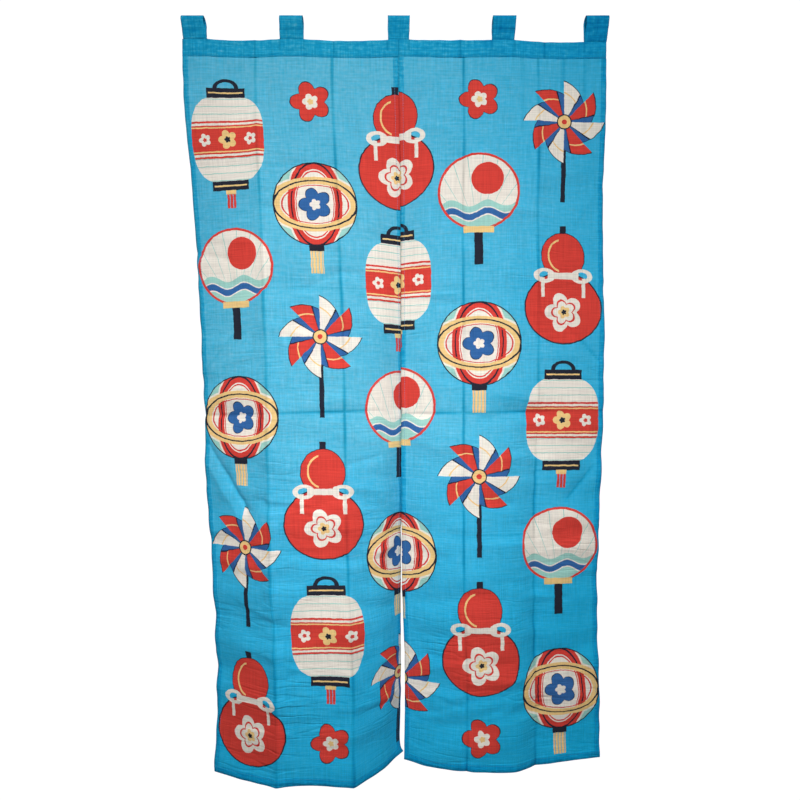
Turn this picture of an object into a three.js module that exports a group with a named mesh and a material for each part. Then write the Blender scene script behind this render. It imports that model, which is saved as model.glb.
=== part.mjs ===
// Noren curtain: two printed cloth panels that hang side by side, a doubled heading that joins
// their tops, and five tab loops for a rod. It is modelled as it hangs, with the folds it was
// packed in still showing. Units are millimetres, +Z is up and the viewer stands at -Y.
import * as THREE from 'three';
import { mergeVertices } from 'three/addons/utils/BufferGeometryUtils.js';

// Driving dimensions. The origin is on the rod's centre line, at the middle of the width.
const BODY_WIDTH = 850;
const SEAM_X = 8; // where the two panels meet, a little right of the middle
const SEAM_GAP = 0.3;
const HEADING_TOP = -37; // the heading's top edge, below the rod's centre line
const HEADING_HEIGHT = 34;
const HEADING_THICKNESS = 3;
const CLOTH_THICKNESS = 1.2;
const HEM_THICKNESS = 2.2;
const SIDE_HEM = 10;
const BOTTOM_HEM = 15;
const HEM_STEP = 1.5; // the run over which a hem's edge drops to the single cloth
const TAB_THICKNESS = 1.6;
const LOOP_RADIUS = 9.4; // inside the loop, round the rod
const TAB_FOOT = 3.6; // both ends of a tab together, where they enter the heading
const SEWN_RISE = 3; // the two ends are sewn together for this far above the heading
const PIECE_GAP = 0.3;

// Tabs, none of them quite square: where the left and right edges stand at the foot and at the
// top, how far the heading hangs below its usual place there, and its further droop up to the
// next tab
const TABS = [
  { name: 'tab_1', foot: [-423, -376], top: [-425, -381.5], sag: -2.4, droopAfter: 3.4 },
  { name: 'tab_2', foot: [-229.6, -182.2], top: [-229, -183.4], sag: -2, droopAfter: 3.2 },
  { name: 'tab_3', foot: [-12.8, 29.4], top: [-13.2, 31], sag: -0.6, droopAfter: 0.9 },
  { name: 'tab_4', foot: [195.4, 240.2], top: [197.2, 243.2], sag: -0.3, droopAfter: 2.6 },
  { name: 'tab_5', foot: [380.2, 425], top: [383, 427.8], sag: 3.8, droopAfter: 0 },
];
const DROOP_FADE = 180; // the droop dies away over this length of cloth

// Folds. Each row is one line that runs down the cloth: how far it lies across the cloth from
// the slit edge, how round the bend there is, how far behind the rod's centre line it hangs at
// each level below the heading's top edge, and how far its puckered hem is drawn up. The cross
// fold is the packing fold halfway down, a valley that runs from the slit edge to the outer edge.
const LEVELS = [HEADING_HEIGHT, 300, 600, 900, 1100, 1300, 1500];
const LIFT_FADE = 60; // the drawn-up hem dies away over this length of cloth
const CROSS_FOLD_DEPTH = 3;
const CROSS_FOLD_REACH = 16; // its two sides flatten out over this length of cloth
const PANELS = [
  {
    name: 'panel_left',
    side: -1,
    width: BODY_WIDTH / 2 + SEAM_X - SEAM_GAP / 2,
    length: 1500,
    slitX: [7.8, 12, 13, 13, 12, 12.6, 9.5],
    crossFold: { atSlit: 740, atOuter: 753 },
    folds: [
      { line: 'slit edge', across: 0, round: 0, lift: 12, depth: [0, 33, 56, 66, 80, 92, 100] },
      { line: 'slit turn', across: 58, round: 26, lift: 4, depth: [0, 9, 18, 24, 33, 43, 52] },
      { line: 'inner press fold', across: 133, round: 8, lift: 0, depth: [0, 0, -2, 0, 0, 1, 4] },
      { line: 'shallow middle', across: 210, round: 30, lift: 0, depth: [0, 0, 0, 3, 4, 6, 9] },
      { line: 'outer press fold', across: 287, round: 6, lift: 0, depth: [0, -5, -8, -5, -4, -2, 3] },
      { line: 'outer edge', across: 433, round: 0, lift: 3, depth: [0, 22, 32, 42, 52, 54, 50] },
    ],
  },
  {
    name: 'panel_right',
    side: 1,
    width: BODY_WIDTH / 2 - SEAM_X - SEAM_GAP / 2,
    length: 1478,
    slitX: [8.2, 12.6, 14, 14.8, 16.6, 22.5, 19.5],
    crossFold: { atSlit: 749, atOuter: 741 },
    folds: [
      { line: 'slit edge', across: 0, round: 0, lift: 6, depth: [0, 30, 30, 33, 40, 46, 48] },
      { line: 'slit turn', across: 46, round: 30, lift: 2, depth: [0, 7, 8, 12, 20, 28, 32] },
      { line: 'inner press fold', across: 131, round: 20, lift: 0, depth: [0, -3, -8, -10, -4, 6, 16] },
      { line: 'broad belly', across: 232, round: 14, lift: 0, depth: [0, -4, -8, -4, 4, 10, 14] },
      { line: 'outer press fold', across: 280, round: 16, lift: 0, depth: [0, 0, -4, 10, 24, 33, 38] },
      { line: 'outer edge', across: 417, round: 0, lift: 12, depth: [0, 16, 8, 24, 44, 50, 48] },
    ],
  },
];

// How finely the solids are divided
const COLUMN_STEP = 26;
const ROW_STEP = 38;
const CROSS_FOLD_ROWS = [36, 16, 6]; // mesh rows on both sides of the cross fold
const CROSS_FOLD_ROW_GAP = 12; // no other row closer to them than this
const CROSS_FOLD_LEAD = 150; // rows up to this far away turn with the cross fold
const HEADING_COLUMNS = 68;
const HEADING_ROWS = 2;
const MARCH_STEP = 4;
const NORMAL_REACH = 2;
const ARC_SEGMENTS = 14;
const MERGE_REACH = 1e-4;

// Dyed cloth, darker where it lies double
const PANEL_BLUE = 0x3fa9d6;
const DOUBLED_BLUE = 0x1b86b8;
const CLOTH_ROUGHNESS = 0.9;
const dyedCloth = (colour) =>
  new THREE.MeshStandardMaterial({ color: colour, roughness: CLOTH_ROUGHNESS, metalness: 0 });

// A smooth curve through one value for each level. It leaves the heading straight down.
function along(values, below) {
  const last = LEVELS.length - 1;
  let k = 0;
  while (k < last - 1 && below > LEVELS[k + 1]) {
    k += 1;
  }
  const slopeAt = (i) => {
    if (i === 0) {
      return 0;
    }
    const before = i - 1;
    const after = Math.min(i + 1, last);
    return (values[after] - values[before]) / (LEVELS[after] - LEVELS[before]);
  };
  const span = LEVELS[k + 1] - LEVELS[k];
  const u = (below - LEVELS[k]) / span;
  const rise = u * u * (3 - 2 * u);
  const leave = u * (1 - u) * (1 - u) * span * slopeAt(k);
  const arrive = u * u * (u - 1) * span * slopeAt(k + 1);
  return values[k] + rise * (values[k + 1] - values[k]) + leave + arrive;
}

// The slope of a cross-section at a distance from the slit edge: straight runs between the fold
// lines, with each bend eased over its roundness
function crossSlope(folds, depths, across) {
  const runs = folds.slice(1).map((fold, i) => (depths[i + 1] - depths[i]) / (fold.across - folds[i].across));
  let slope = runs[0];
  for (let i = 1; i < runs.length; i += 1) {
    const past = across - folds[i].across;
    const turned = (1 + past / Math.hypot(past, folds[i].round)) / 2;
    slope += turned * (runs[i] - runs[i - 1]);
  }
  return slope;
}

// How low the heading hangs: level under each tab, with a parabola from the edge of one tab to
// the edge of the next
function droopAt(x) {
  const next = TABS.findIndex((tab) => tab.foot[0] > x);
  if (next === 0) {
    return TABS[0].sag;
  }
  if (next < 0) {
    return TABS[TABS.length - 1].sag;
  }
  const before = TABS[next - 1];
  const after = TABS[next];
  const u = Math.max((x - before.foot[1]) / (after.foot[0] - before.foot[1]), 0);
  return before.sag + u * (after.sag - before.sag) + 4 * u * (1 - u) * before.droopAfter;
}

function heightAt(x, below) {
  return HEADING_TOP - below - droopAt(x) * Math.exp(-below / DROOP_FADE);
}

// How far the cloth is drawn up where the hem puckers
function liftAt(panel, across, below) {
  const last = panel.folds.length - 1;
  const k = Math.min(panel.folds.findLastIndex((fold) => fold.across <= across), last - 1);
  const here = panel.folds[k];
  const next = panel.folds[k + 1];
  const u = (across - here.across) / (next.across - here.across);
  return (here.lift + u * (next.lift - here.lift)) * Math.exp((below - panel.length) / LIFT_FADE);
}

// How far down the cross fold lies at a place across the cloth
function crossFoldAt(panel, across) {
  const { atSlit, atOuter } = panel.crossFold;
  return atSlit + ((atOuter - atSlit) * across) / panel.width;
}

// A point of a panel's middle surface. The cloth doesn't stretch, so a run that turns back in
// depth takes up less width, and the width is summed in short steps from the slit edge.
function panelPoint(panel, across, below) {
  const depths = panel.folds.map((fold) => along(fold.depth, below));
  const steps = Math.max(Math.ceil(across / MARCH_STEP), 1);
  const step = across / steps;
  let reach = 0;
  let depth = depths[0];
  for (let i = 0; i < steps; i += 1) {
    const slope = crossSlope(panel.folds, depths, (i + 0.5) * step);
    depth += slope * step;
    reach += Math.sqrt(Math.max(1 - slope * slope, 0)) * step;
  }
  const offCrossFold = Math.abs(below - crossFoldAt(panel, across));
  depth += CROSS_FOLD_DEPTH * Math.exp(-offCrossFold / CROSS_FOLD_REACH);
  const x = along(panel.slitX, below) + panel.side * reach;
  return new THREE.Vector3(x, depth, heightAt(x, below) + liftAt(panel, across, below));
}

// The direction from a panel's face to its back
function panelBackward(panel, across, below) {
  const left = panelPoint(panel, Math.max(across - NORMAL_REACH, 0), below);
  const right = panelPoint(panel, across + NORMAL_REACH, below);
  const upper = panelPoint(panel, across, below - NORMAL_REACH);
  const lower = panelPoint(panel, across, below + NORMAL_REACH);
  const sideways = right.sub(left).multiplyScalar(panel.side);
  return sideways.cross(lower.sub(upper)).normalize();
}

// Places for the mesh lines between two hems, with the hems' own edges among them
function stations(start, end, startHem, endHem, largestStep) {
  const places = [start];
  let from = start;
  if (startHem > 0) {
    places.push(start + startHem, start + startHem + HEM_STEP);
    from = start + startHem + HEM_STEP;
  }
  const to = end - endHem - HEM_STEP;
  const count = Math.ceil((to - from) / largestStep);
  for (let i = 1; i <= count; i += 1) {
    places.push(from + ((to - from) * i) / count);
  }
  places.push(end - endHem, end);
  return places;
}

// A panel's mesh rows, with close ones at the cross fold
function panelRows(panel) {
  const even = stations(HEADING_HEIGHT + PIECE_GAP, panel.length, 0, BOTTOM_HEM, ROW_STEP);
  const fold = crossFoldAt(panel, panel.width / 2);
  const clear = even.filter((row) => Math.abs(row - fold) > CROSS_FOLD_ROWS[0] + CROSS_FOLD_ROW_GAP);
  const close = CROSS_FOLD_ROWS.flatMap((reach) => [fold - reach, fold + reach]);
  return [...clear, fold, ...close].sort((a, b) => a - b);
}

// Where a mesh row lies at a place across the cloth: the rows by the cross fold keep along it
function rowAt(panel, row, across) {
  const slant = crossFoldAt(panel, across) - crossFoldAt(panel, panel.width / 2);
  const nearness = 1 - Math.abs(row - crossFoldAt(panel, panel.width / 2)) / CROSS_FOLD_LEAD;
  return row + slant * Math.max(nearness, 0);
}

function onlyPositions(geometry) {
  geometry.deleteAttribute('normal');
  geometry.deleteAttribute('uv');
  return mergeVertices(geometry, MERGE_REACH);
}

// A hanging panel: a slab whose points are moved on to the folds. The hems are turned to the
// back, so the face stays even and the back steps out over them.
function panelMesh(panel) {
  const columns = stations(0, panel.width, SIDE_HEM, SIDE_HEM, COLUMN_STEP);
  const rows = panelRows(panel);
  const slab = onlyPositions(new THREE.BoxGeometry(1, 1, 1, columns.length - 1, 1, rows.length - 1));
  const points = slab.getAttribute('position');
  for (let i = 0; i < points.count; i += 1) {
    const column = Math.round((0.5 + panel.side * points.getX(i)) * (columns.length - 1));
    const row = Math.round((0.5 - points.getZ(i)) * (rows.length - 1));
    const across = columns[column];
    const below = rowAt(panel, rows[row], across);
    const inSideHem = Math.min(across, panel.width - across) <= SIDE_HEM;
    const inHem = inSideHem || panel.length - below <= BOTTOM_HEM;
    const thickness = inHem ? HEM_THICKNESS : CLOTH_THICKNESS;
    const offset = points.getY(i) > 0 ? thickness - CLOTH_THICKNESS / 2 : -CLOTH_THICKNESS / 2;
    const place = panelPoint(panel, across, below);
    place.addScaledVector(panelBackward(panel, across, below), offset);
    points.setXYZ(i, place.x, place.y, place.z);
  }
  const mesh = new THREE.Mesh(slab, dyedCloth(PANEL_BLUE));
  mesh.name = panel.name;
  return mesh;
}

// The heading: the top of the cloth, turned over and stitched down across both panels
function headingMesh() {
  const band = onlyPositions(
    new THREE.BoxGeometry(BODY_WIDTH, HEADING_THICKNESS, HEADING_HEIGHT, HEADING_COLUMNS, 1, HEADING_ROWS),
  );
  const points = band.getAttribute('position');
  for (let i = 0; i < points.count; i += 1) {
    const x = points.getX(i);
    points.setZ(i, heightAt(x, HEADING_HEIGHT / 2 - points.getZ(i)));
  }
  const mesh = new THREE.Mesh(band, dyedCloth(DOUBLED_BLUE));
  mesh.name = 'heading';
  return mesh;
}

// One side of a loop, seen from its end: a round top about the rod with two straight legs that
// run down to a narrow foot
function loopOutline(path, radius, footHalf, footZ) {
  const tangent = Math.atan2(footZ, footHalf) + Math.acos(radius / Math.hypot(footHalf, footZ));
  path.moveTo(footHalf, footZ);
  path.lineTo(radius * Math.cos(tangent), radius * Math.sin(tangent));
  path.absarc(0, 0, radius, tangent, Math.PI - tangent, false);
  path.lineTo(-footHalf, footZ);
  path.closePath();
  return path;
}

// A tab: a doubled strip taken round the rod, with both ends sewn into the heading. It is made
// square and one unit wide, then its edges are moved out to where they stand.
function tabMesh(tab) {
  const footZ = HEADING_TOP - tab.sag + PIECE_GAP;
  const section = loopOutline(new THREE.Shape(), LOOP_RADIUS + TAB_THICKNESS, TAB_FOOT / 2, footZ);
  const innerFoot = TAB_FOOT / 2 - TAB_THICKNESS;
  section.holes.push(loopOutline(new THREE.Path(), LOOP_RADIUS, innerFoot, footZ + SEWN_RISE));
  const strip = onlyPositions(
    new THREE.ExtrudeGeometry(section, { depth: 1, bevelEnabled: false, curveSegments: ARC_SEGMENTS }),
  );
  const points = strip.getAttribute('position');
  for (let i = 0; i < points.count; i += 1) {
    const z = points.getY(i);
    const rise = (z - footZ) / (LOOP_RADIUS + TAB_THICKNESS - footZ);
    const edge = Math.round(points.getZ(i));
    const x = tab.foot[edge] + rise * (tab.top[edge] - tab.foot[edge]);
    points.setXYZ(i, x, points.getX(i), z);
  }
  const mesh = new THREE.Mesh(strip, dyedCloth(DOUBLED_BLUE));
  mesh.name = tab.name;
  return mesh;
}

const noren = new THREE.Group();
noren.name = 'noren_curtain';
noren.add(...PANELS.map(panelMesh), headingMesh(), ...TABS.map(tabMesh));

export default noren;
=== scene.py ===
import math
import random
from collections import namedtuple

import bmesh
import bpy
import numpy as np
from mathutils import Matrix, Vector, noise


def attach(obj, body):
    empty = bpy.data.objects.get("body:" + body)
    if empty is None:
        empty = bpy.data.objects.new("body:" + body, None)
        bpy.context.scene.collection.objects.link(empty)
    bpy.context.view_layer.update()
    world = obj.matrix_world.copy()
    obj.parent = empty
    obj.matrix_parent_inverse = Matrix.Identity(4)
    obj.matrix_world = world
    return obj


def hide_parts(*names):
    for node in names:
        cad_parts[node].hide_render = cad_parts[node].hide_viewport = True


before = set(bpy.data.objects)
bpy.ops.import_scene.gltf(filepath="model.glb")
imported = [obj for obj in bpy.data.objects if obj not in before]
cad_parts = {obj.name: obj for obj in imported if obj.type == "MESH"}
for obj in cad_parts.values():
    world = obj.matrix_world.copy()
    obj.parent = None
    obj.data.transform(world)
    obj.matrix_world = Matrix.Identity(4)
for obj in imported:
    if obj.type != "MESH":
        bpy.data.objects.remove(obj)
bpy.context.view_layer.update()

# The two panels: thin slubby plain-weave cotton, printed on the face, with narrow hems turned to
# the back down both sides and along the bottom. Each is sewn into the heading at the top and
# hangs in the folds that packing pressed into it. Sizes are in metres.
HEADING_TOP = -0.037
HEADING_HEIGHT = 0.034
SEAM_X = 0.008
SEAM_CLEARANCE = 0.00003
BODY_HALF = 0.425
SIDE_HEM = 0.010
BOTTOM_HEM = 0.015
HEM_STEP = 0.0015
STITCH_INSET = 0.0016
CLOTH_THICKNESS = 0.0008
HEM_THICKNESS = 0.0016
DROOP_FADE = 0.18
LIFT_FADE = 0.06
PRINT_SLIP = 0.006
CORNER_SWING = 0.0078
CORNER_RISE = 0.012
CORNER_REACH = 0.030

# One row for each tab: its left and right edges at the foot and at the top, how far the heading
# hangs below its usual place there, its droop up to the next tab, and how many layers show.
Tab = namedtuple("Tab", "name foot top sag droop_after layers")
TABS = (
    Tab("tab_1", (-0.4230, -0.3760), (-0.4250, -0.3815), -0.0024, 0.0034, 1.20),
    Tab("tab_2", (-0.2296, -0.1822), (-0.2290, -0.1834), -0.0020, 0.0032, 1.10),
    Tab("tab_3", (-0.0128, 0.0294), (-0.0132, 0.0310), -0.0006, 0.0009, 1.20),
    Tab("tab_4", (0.1954, 0.2402), (0.1972, 0.2432), -0.0003, 0.0026, 1.45),
    Tab("tab_5", (0.3802, 0.4250), (0.3830, 0.4278), 0.0038, 0.0000, 1.60),
)

# One row for each fold line that runs down a panel: its place across the cloth from the slit
# edge, how round the bend is, how far the hem is drawn up there, and its depth at each level.
# The left panel's hem starts just behind the right one's, so that the slit is shut at the top.
LEVELS = np.array([0.034, 0.3, 0.6, 0.9, 1.1, 1.3, 1.5])
Fold = namedtuple("Fold", "across round lift depth")
Panel = namedtuple(
    "Panel", "name side width length slit_x print_slip corner folds creases fine_columns fine_rows"
)
LEFT_FOLDS = (
    Fold(0.000, 0.000, 0.012, (0.0009, 0.033, 0.056, 0.066, 0.080, 0.092, 0.100)),
    Fold(0.058, 0.026, 0.004, (0, 0.009, 0.018, 0.024, 0.033, 0.043, 0.052)),
    Fold(0.133, 0.008, 0.000, (0, 0.000, -0.002, 0.000, 0.000, 0.001, 0.004)),
    Fold(0.210, 0.030, 0.000, (0, 0.000, 0.000, 0.003, 0.004, 0.006, 0.009)),
    Fold(0.287, 0.006, 0.000, (0, -0.005, -0.008, -0.005, -0.004, -0.002, 0.003)),
    Fold(0.433, 0.000, 0.003, (0, 0.022, 0.032, 0.042, 0.052, 0.054, 0.050)),
)
RIGHT_FOLDS = (
    Fold(0.000, 0.000, 0.006, (-0.0008, 0.030, 0.030, 0.033, 0.040, 0.046, 0.048)),
    Fold(0.046, 0.030, 0.002, (0, 0.007, 0.008, 0.012, 0.020, 0.028, 0.032)),
    Fold(0.131, 0.020, 0.000, (0, -0.003, -0.008, -0.010, -0.004, 0.006, 0.016)),
    Fold(0.232, 0.014, 0.000, (0, -0.004, -0.008, -0.004, 0.004, 0.010, 0.014)),
    Fold(0.280, 0.016, 0.000, (0, 0.000, -0.004, 0.010, 0.024, 0.033, 0.038)),
    Fold(0.417, 0.000, 0.012, (0, 0.016, 0.008, 0.024, 0.044, 0.050, 0.048)),
)

# One row for each crease: both ends as places across the cloth and below the heading's top, how
# far its two sides run before they flatten out, how far it stands out, and how much painted shade
# darkens its line. A trough stands out by less than nothing.
Crease = namedtuple("Crease", "start end width height pressed")
LEFT_CREASES = (
    Crease((0.436, 0.753), (0.000, 0.740), 0.014, -0.0052, 1.0),
    Crease((0.133, 0.030), (0.133, 1.500), 0.012, 0.0038, 1.0),
    Crease((0.287, 0.030), (0.287, 1.500), 0.014, 0.0042, 0.9),
    Crease((0.424, 0.812), (0.342, 0.942), 0.007, -0.0074, 0.2),
    Crease((0.428, 0.850), (0.362, 0.955), 0.014, 0.0040, 0.0),
    Crease((0.427, 0.667), (0.248, 0.668), 0.008, 0.0018, 0.2),
    Crease((0.436, 0.496), (0.005, 0.500), 0.012, -0.0022, 0.2),
    Crease((0.268, 0.484), (0.223, 0.482), 0.008, -0.0020, 0.2),
    Crease((0.090, 0.507), (0.052, 0.505), 0.006, 0.0022, 0.2),
    Crease((0.415, 0.650), (0.358, 0.590), 0.009, 0.0030, 0.2),
    Crease((0.085, 0.977), (0.030, 0.981), 0.007, 0.0028, 0.3),
    Crease((0.252, 1.019), (0.200, 1.021), 0.007, 0.0022, 0.2),
    Crease((0.424, 0.997), (0.382, 0.994), 0.006, 0.0028, 0.2),
    Crease((0.424, 1.014), (0.385, 1.011), 0.006, -0.0025, 0.3),
    Crease((0.433, 1.281), (0.376, 1.272), 0.012, -0.0037, 0.2),
    Crease((0.094, 1.321), (0.030, 1.360), 0.009, 0.0032, 0.2),
    Crease((0.256, 1.358), (0.186, 1.358), 0.010, 0.0028, 0.1),
    Crease((0.436, 1.000), (0.005, 0.996), 0.016, -0.0025, 0.2),
    Crease((0.436, 1.250), (0.005, 1.247), 0.014, -0.0022, 0.1),
    Crease((0.436, 0.250), (0.005, 0.248), 0.014, -0.0018, 0.1),
)
RIGHT_CREASES = (
    Crease((0.000, 0.749), (0.420, 0.741), 0.014, -0.0052, 1.0),
    Crease((0.131, 0.030), (0.131, 1.480), 0.010, -0.0034, 1.0),
    Crease((0.280, 0.030), (0.280, 0.700), 0.020, 0.0052, 1.0),
    Crease((0.280, 0.800), (0.280, 1.480), 0.012, -0.0044, 1.0),
    Crease((0.198, 0.715), (0.266, 0.723), 0.008, 0.0028, 0.3),
    Crease((0.066, 0.511), (0.108, 0.513), 0.006, 0.0022, 0.2),
    Crease((0.238, 0.484), (0.276, 0.484), 0.006, -0.0022, 0.3),
    Crease((0.395, 0.481), (0.417, 0.481), 0.006, 0.0022, 0.2),
    Crease((0.266, 0.553), (0.304, 0.553), 0.006, -0.0022, 0.3),
    Crease((0.294, 0.635), (0.368, 0.635), 0.007, 0.0022, 0.2),
    Crease((0.362, 0.360), (0.402, 0.304), 0.008, 0.0032, 0.3),
    Crease((0.350, 0.582), (0.402, 0.635), 0.008, -0.0032, 0.5),
    Crease((0.352, 0.918), (0.390, 0.866), 0.008, -0.0035, 0.5),
    Crease((0.052, 0.172), (0.088, 0.175), 0.007, 0.0028, 0.2),
    Crease((0.085, 0.175), (0.130, 0.197), 0.007, 0.0028, 0.2),
    Crease((0.245, 0.963), (0.274, 0.978), 0.007, 0.0025, 0.2),
    Crease((0.408, 0.957), (0.420, 0.979), 0.007, -0.0025, 0.2),
    Crease((0.020, 0.996), (0.070, 0.996), 0.007, 0.0025, 0.2),
    Crease((0.264, 0.994), (0.292, 1.007), 0.007, 0.0025, 0.2),
    Crease((0.020, 1.052), (0.084, 1.052), 0.007, 0.0022, 0.2),
    Crease((0.058, 1.323), (0.098, 1.333), 0.008, 0.0030, 0.2),
    Crease((0.000, 0.498), (0.420, 0.494), 0.013, -0.0022, 0.2),
    Crease((0.000, 0.996), (0.420, 0.990), 0.016, -0.0025, 0.2),
    Crease((0.000, 1.247), (0.420, 1.243), 0.014, -0.0022, 0.1),
    Crease((0.249, 0.030), (0.249, 0.160), 0.005, 0.0013, 0.4),
    Crease((0.374, 0.030), (0.374, 0.200), 0.010, -0.0026, 0.7),
    Crease((0.332, 0.030), (0.329, 0.090), 0.005, -0.0018, 0.6),
)

# Spans where the mesh lines lie close, so that the sharpest creases stay sharp: from, to, step.
LEFT_FINE_COLUMNS = ((0.127, 0.139, 0.0015), (0.281, 0.293, 0.0015), (0.338, 0.420, 0.0029))
LEFT_FINE_ROWS = ((0.735, 0.758, 0.0016), (0.808, 0.950, 0.0030))
RIGHT_FINE_COLUMNS = ((0.125, 0.137, 0.0015), (0.274, 0.286, 0.0015))
RIGHT_FINE_ROWS = ((0.736, 0.754, 0.0016),)

# One row for each panel: its name, the side it hangs on, its width and length, where its slit
# edge runs at each level, how far its print has slipped down, how far its slit corner swings,
# and its folds, creases and fine spans.
PANELS = (
    Panel(
        "panel_left", -1, BODY_HALF + SEAM_X - SEAM_CLEARANCE, 1.500,
        (0.0083, 0.0130, 0.0150, 0.0154, 0.0122, 0.0126, 0.0095), PRINT_SLIP, CORNER_SWING,
        LEFT_FOLDS, LEFT_CREASES, LEFT_FINE_COLUMNS, LEFT_FINE_ROWS,
    ),
    Panel(
        "panel_right", 1, BODY_HALF - SEAM_X - SEAM_CLEARANCE, 1.478,
        (0.0079, 0.0122, 0.0132, 0.0138, 0.0160, 0.0215, 0.0195), 0.0, 0.0,
        RIGHT_FOLDS, RIGHT_CREASES, RIGHT_FINE_COLUMNS, RIGHT_FINE_ROWS,
    ),
)


def along(values, below):
    """A smooth curve through one value for each level, which leaves the heading straight down."""
    values = np.array(values)
    spans = np.diff(LEVELS)
    slopes = np.zeros(len(values))
    slopes[1:-1] = (values[2:] - values[:-2]) / (LEVELS[2:] - LEVELS[:-2])
    slopes[-1] = (values[-1] - values[-2]) / spans[-1]
    k = np.clip(np.searchsorted(LEVELS, below) - 1, 0, len(values) - 2)
    u = (below - LEVELS[k]) / spans[k]
    rise = u * u * (3 - 2 * u)
    leave = u * (1 - u) ** 2 * spans[k] * slopes[k]
    arrive = u * u * (u - 1) * spans[k] * slopes[k + 1]
    return values[k] + rise * (values[k + 1] - values[k]) + leave + arrive


def droop(x):
    """How low the heading hangs: level under each tab, with a parabola between tabs."""
    low = np.full_like(x, TABS[0].sag)
    for tab, following in zip(TABS, TABS[1:]):
        u = np.clip((x - tab.foot[1]) / (following.foot[0] - tab.foot[1]), 0, 1)
        low += u * (following.sag - tab.sag) + 4 * u * (1 - u) * tab.droop_after
    return low


def hang(panel, across, below):
    """The panel's middle surface, a row of points for each level. The cloth doesn't stretch, so
    a run that turns back in depth takes up less width."""
    places = np.array([fold.across for fold in panel.folds])
    depths = np.array([along(fold.depth, below) for fold in panel.folds])
    runs = np.diff(depths, axis=0) / np.diff(places)[:, None]
    middles = (across[1:] + across[:-1]) / 2
    slope = np.repeat(runs[0][:, None], len(middles), axis=1)
    for i, fold in enumerate(panel.folds[1:-1], 1):
        past = middles - fold.across
        turned = (1 + past / np.hypot(past, fold.round)) / 2
        slope = slope + np.outer(runs[i] - runs[i - 1], turned)
    steps = np.diff(across)
    start = np.zeros((len(below), 1))
    depth = depths[0][:, None] + np.hstack([start, np.cumsum(slope * steps, axis=1)])
    reach = np.hstack([start, np.cumsum(np.sqrt(1 - slope**2) * steps, axis=1)])
    x = along(panel.slit_x, below)[:, None] + panel.side * reach
    lift = np.interp(across, places, [fold.lift for fold in panel.folds])
    lift = np.outer(np.exp((below - panel.length) / LIFT_FADE), lift)
    z = HEADING_TOP - below[:, None] - droop(x) * np.exp(-below / DROOP_FADE)[:, None] + lift
    return np.stack([x, depth, z], axis=2)


CREASE_EDGE = 0.0009
CREASE_END_FADE = 1.5
CREASE_SHARE = 0.8
CREASE_SWING = 0.35
SWING_LENGTH = 0.035
SWING_CHANGE = 0.004
SWING_TURN = 1.7
SHADE_LINE_WIDTH = 0.0028


def crease_relief(creases, across, below):
    """How far the creases stand out towards the viewer, and how much painted shade darkens their
    lines. A crease is sharp along its line and flattens out at its sides and ends."""
    relief = np.zeros((len(below), len(across)))
    pressed = np.zeros((len(below), len(across)))
    point = np.stack(np.meshgrid(across, below), axis=2)
    for number, crease in enumerate(creases):
        start = np.array(crease.start)
        run = np.array(crease.end) - start
        length = np.hypot(*run)
        along_run = (point - start) @ run / length
        off_run = ((point - start) @ np.array([-run[1], run[0]])) / length
        beyond = np.maximum(np.abs(along_run - length / 2) - length / 2, 0)
        ends = np.exp(-((beyond / (CREASE_END_FADE * crease.width)) ** 2))
        sides = np.exp((CREASE_EDGE - np.hypot(off_run, CREASE_EDGE)) / crease.width)
        swing = np.sin(along_run / (SWING_LENGTH + SWING_CHANGE * number) + SWING_TURN * number)
        uneven = CREASE_SHARE + CREASE_SWING * swing
        relief += crease.height * sides * ends * uneven
        # Painted shade: a dark line along each crease, standing in for the shade in its fold.
        line = crease.pressed * ends * uneven * np.exp(-((off_run / SHADE_LINE_WIDTH) ** 2))
        pressed = np.maximum(pressed, line)
    return relief, pressed


WRINKLE_COUNT = 120
WRINKLE_SEED = 11
WRINKLE_INSET = 0.02
WRINKLE_TOP = 0.08
WRINKLE_FOOT = 0.05
WRINKLE_CROWD = 0.2
WRINKLE_LEAN = 0.22
WRINKLE_HALF = (0.012, 0.045)
WRINKLE_HEIGHT = (0.0014, 0.0040)
WRINKLE_WIDTH = (0.006, 0.013)


def small_wrinkles(panel):
    """Faint short creases all over, mostly level, more of them towards the foot."""
    chance = random.Random(WRINKLE_SEED + panel.side)
    wrinkles = []
    for _ in range(WRINKLE_COUNT):
        across = chance.uniform(WRINKLE_INSET, panel.width - WRINKLE_INSET)
        lowest = panel.length - WRINKLE_FOOT
        below = chance.triangular(WRINKLE_TOP, lowest, panel.length - WRINKLE_CROWD)
        lean = chance.gauss(0, WRINKLE_LEAN)
        half = chance.uniform(*WRINKLE_HALF)
        reach = np.array([math.cos(lean), math.sin(lean)]) * half
        middle = np.array([across, below])
        height = chance.choice((-1, 1)) * chance.uniform(*WRINKLE_HEIGHT)
        width = chance.uniform(*WRINKLE_WIDTH)
        wrinkles.append(Crease(tuple(middle - reach), tuple(middle + reach), width, height, 0.0))
    return wrinkles


PUCKER_HEIGHT = 0.0011
PUCKER_REACH = 0.022
PUCKER_LENGTH = 0.026
EASE_HEIGHT = 0.0060
EASE_LENGTH = 0.15
EASE_DROP = 0.050
EASE_SHARE = (0.25, 1.2)
SLIT_CALM = 0.03
FREE_DROP = 0.1


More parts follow.
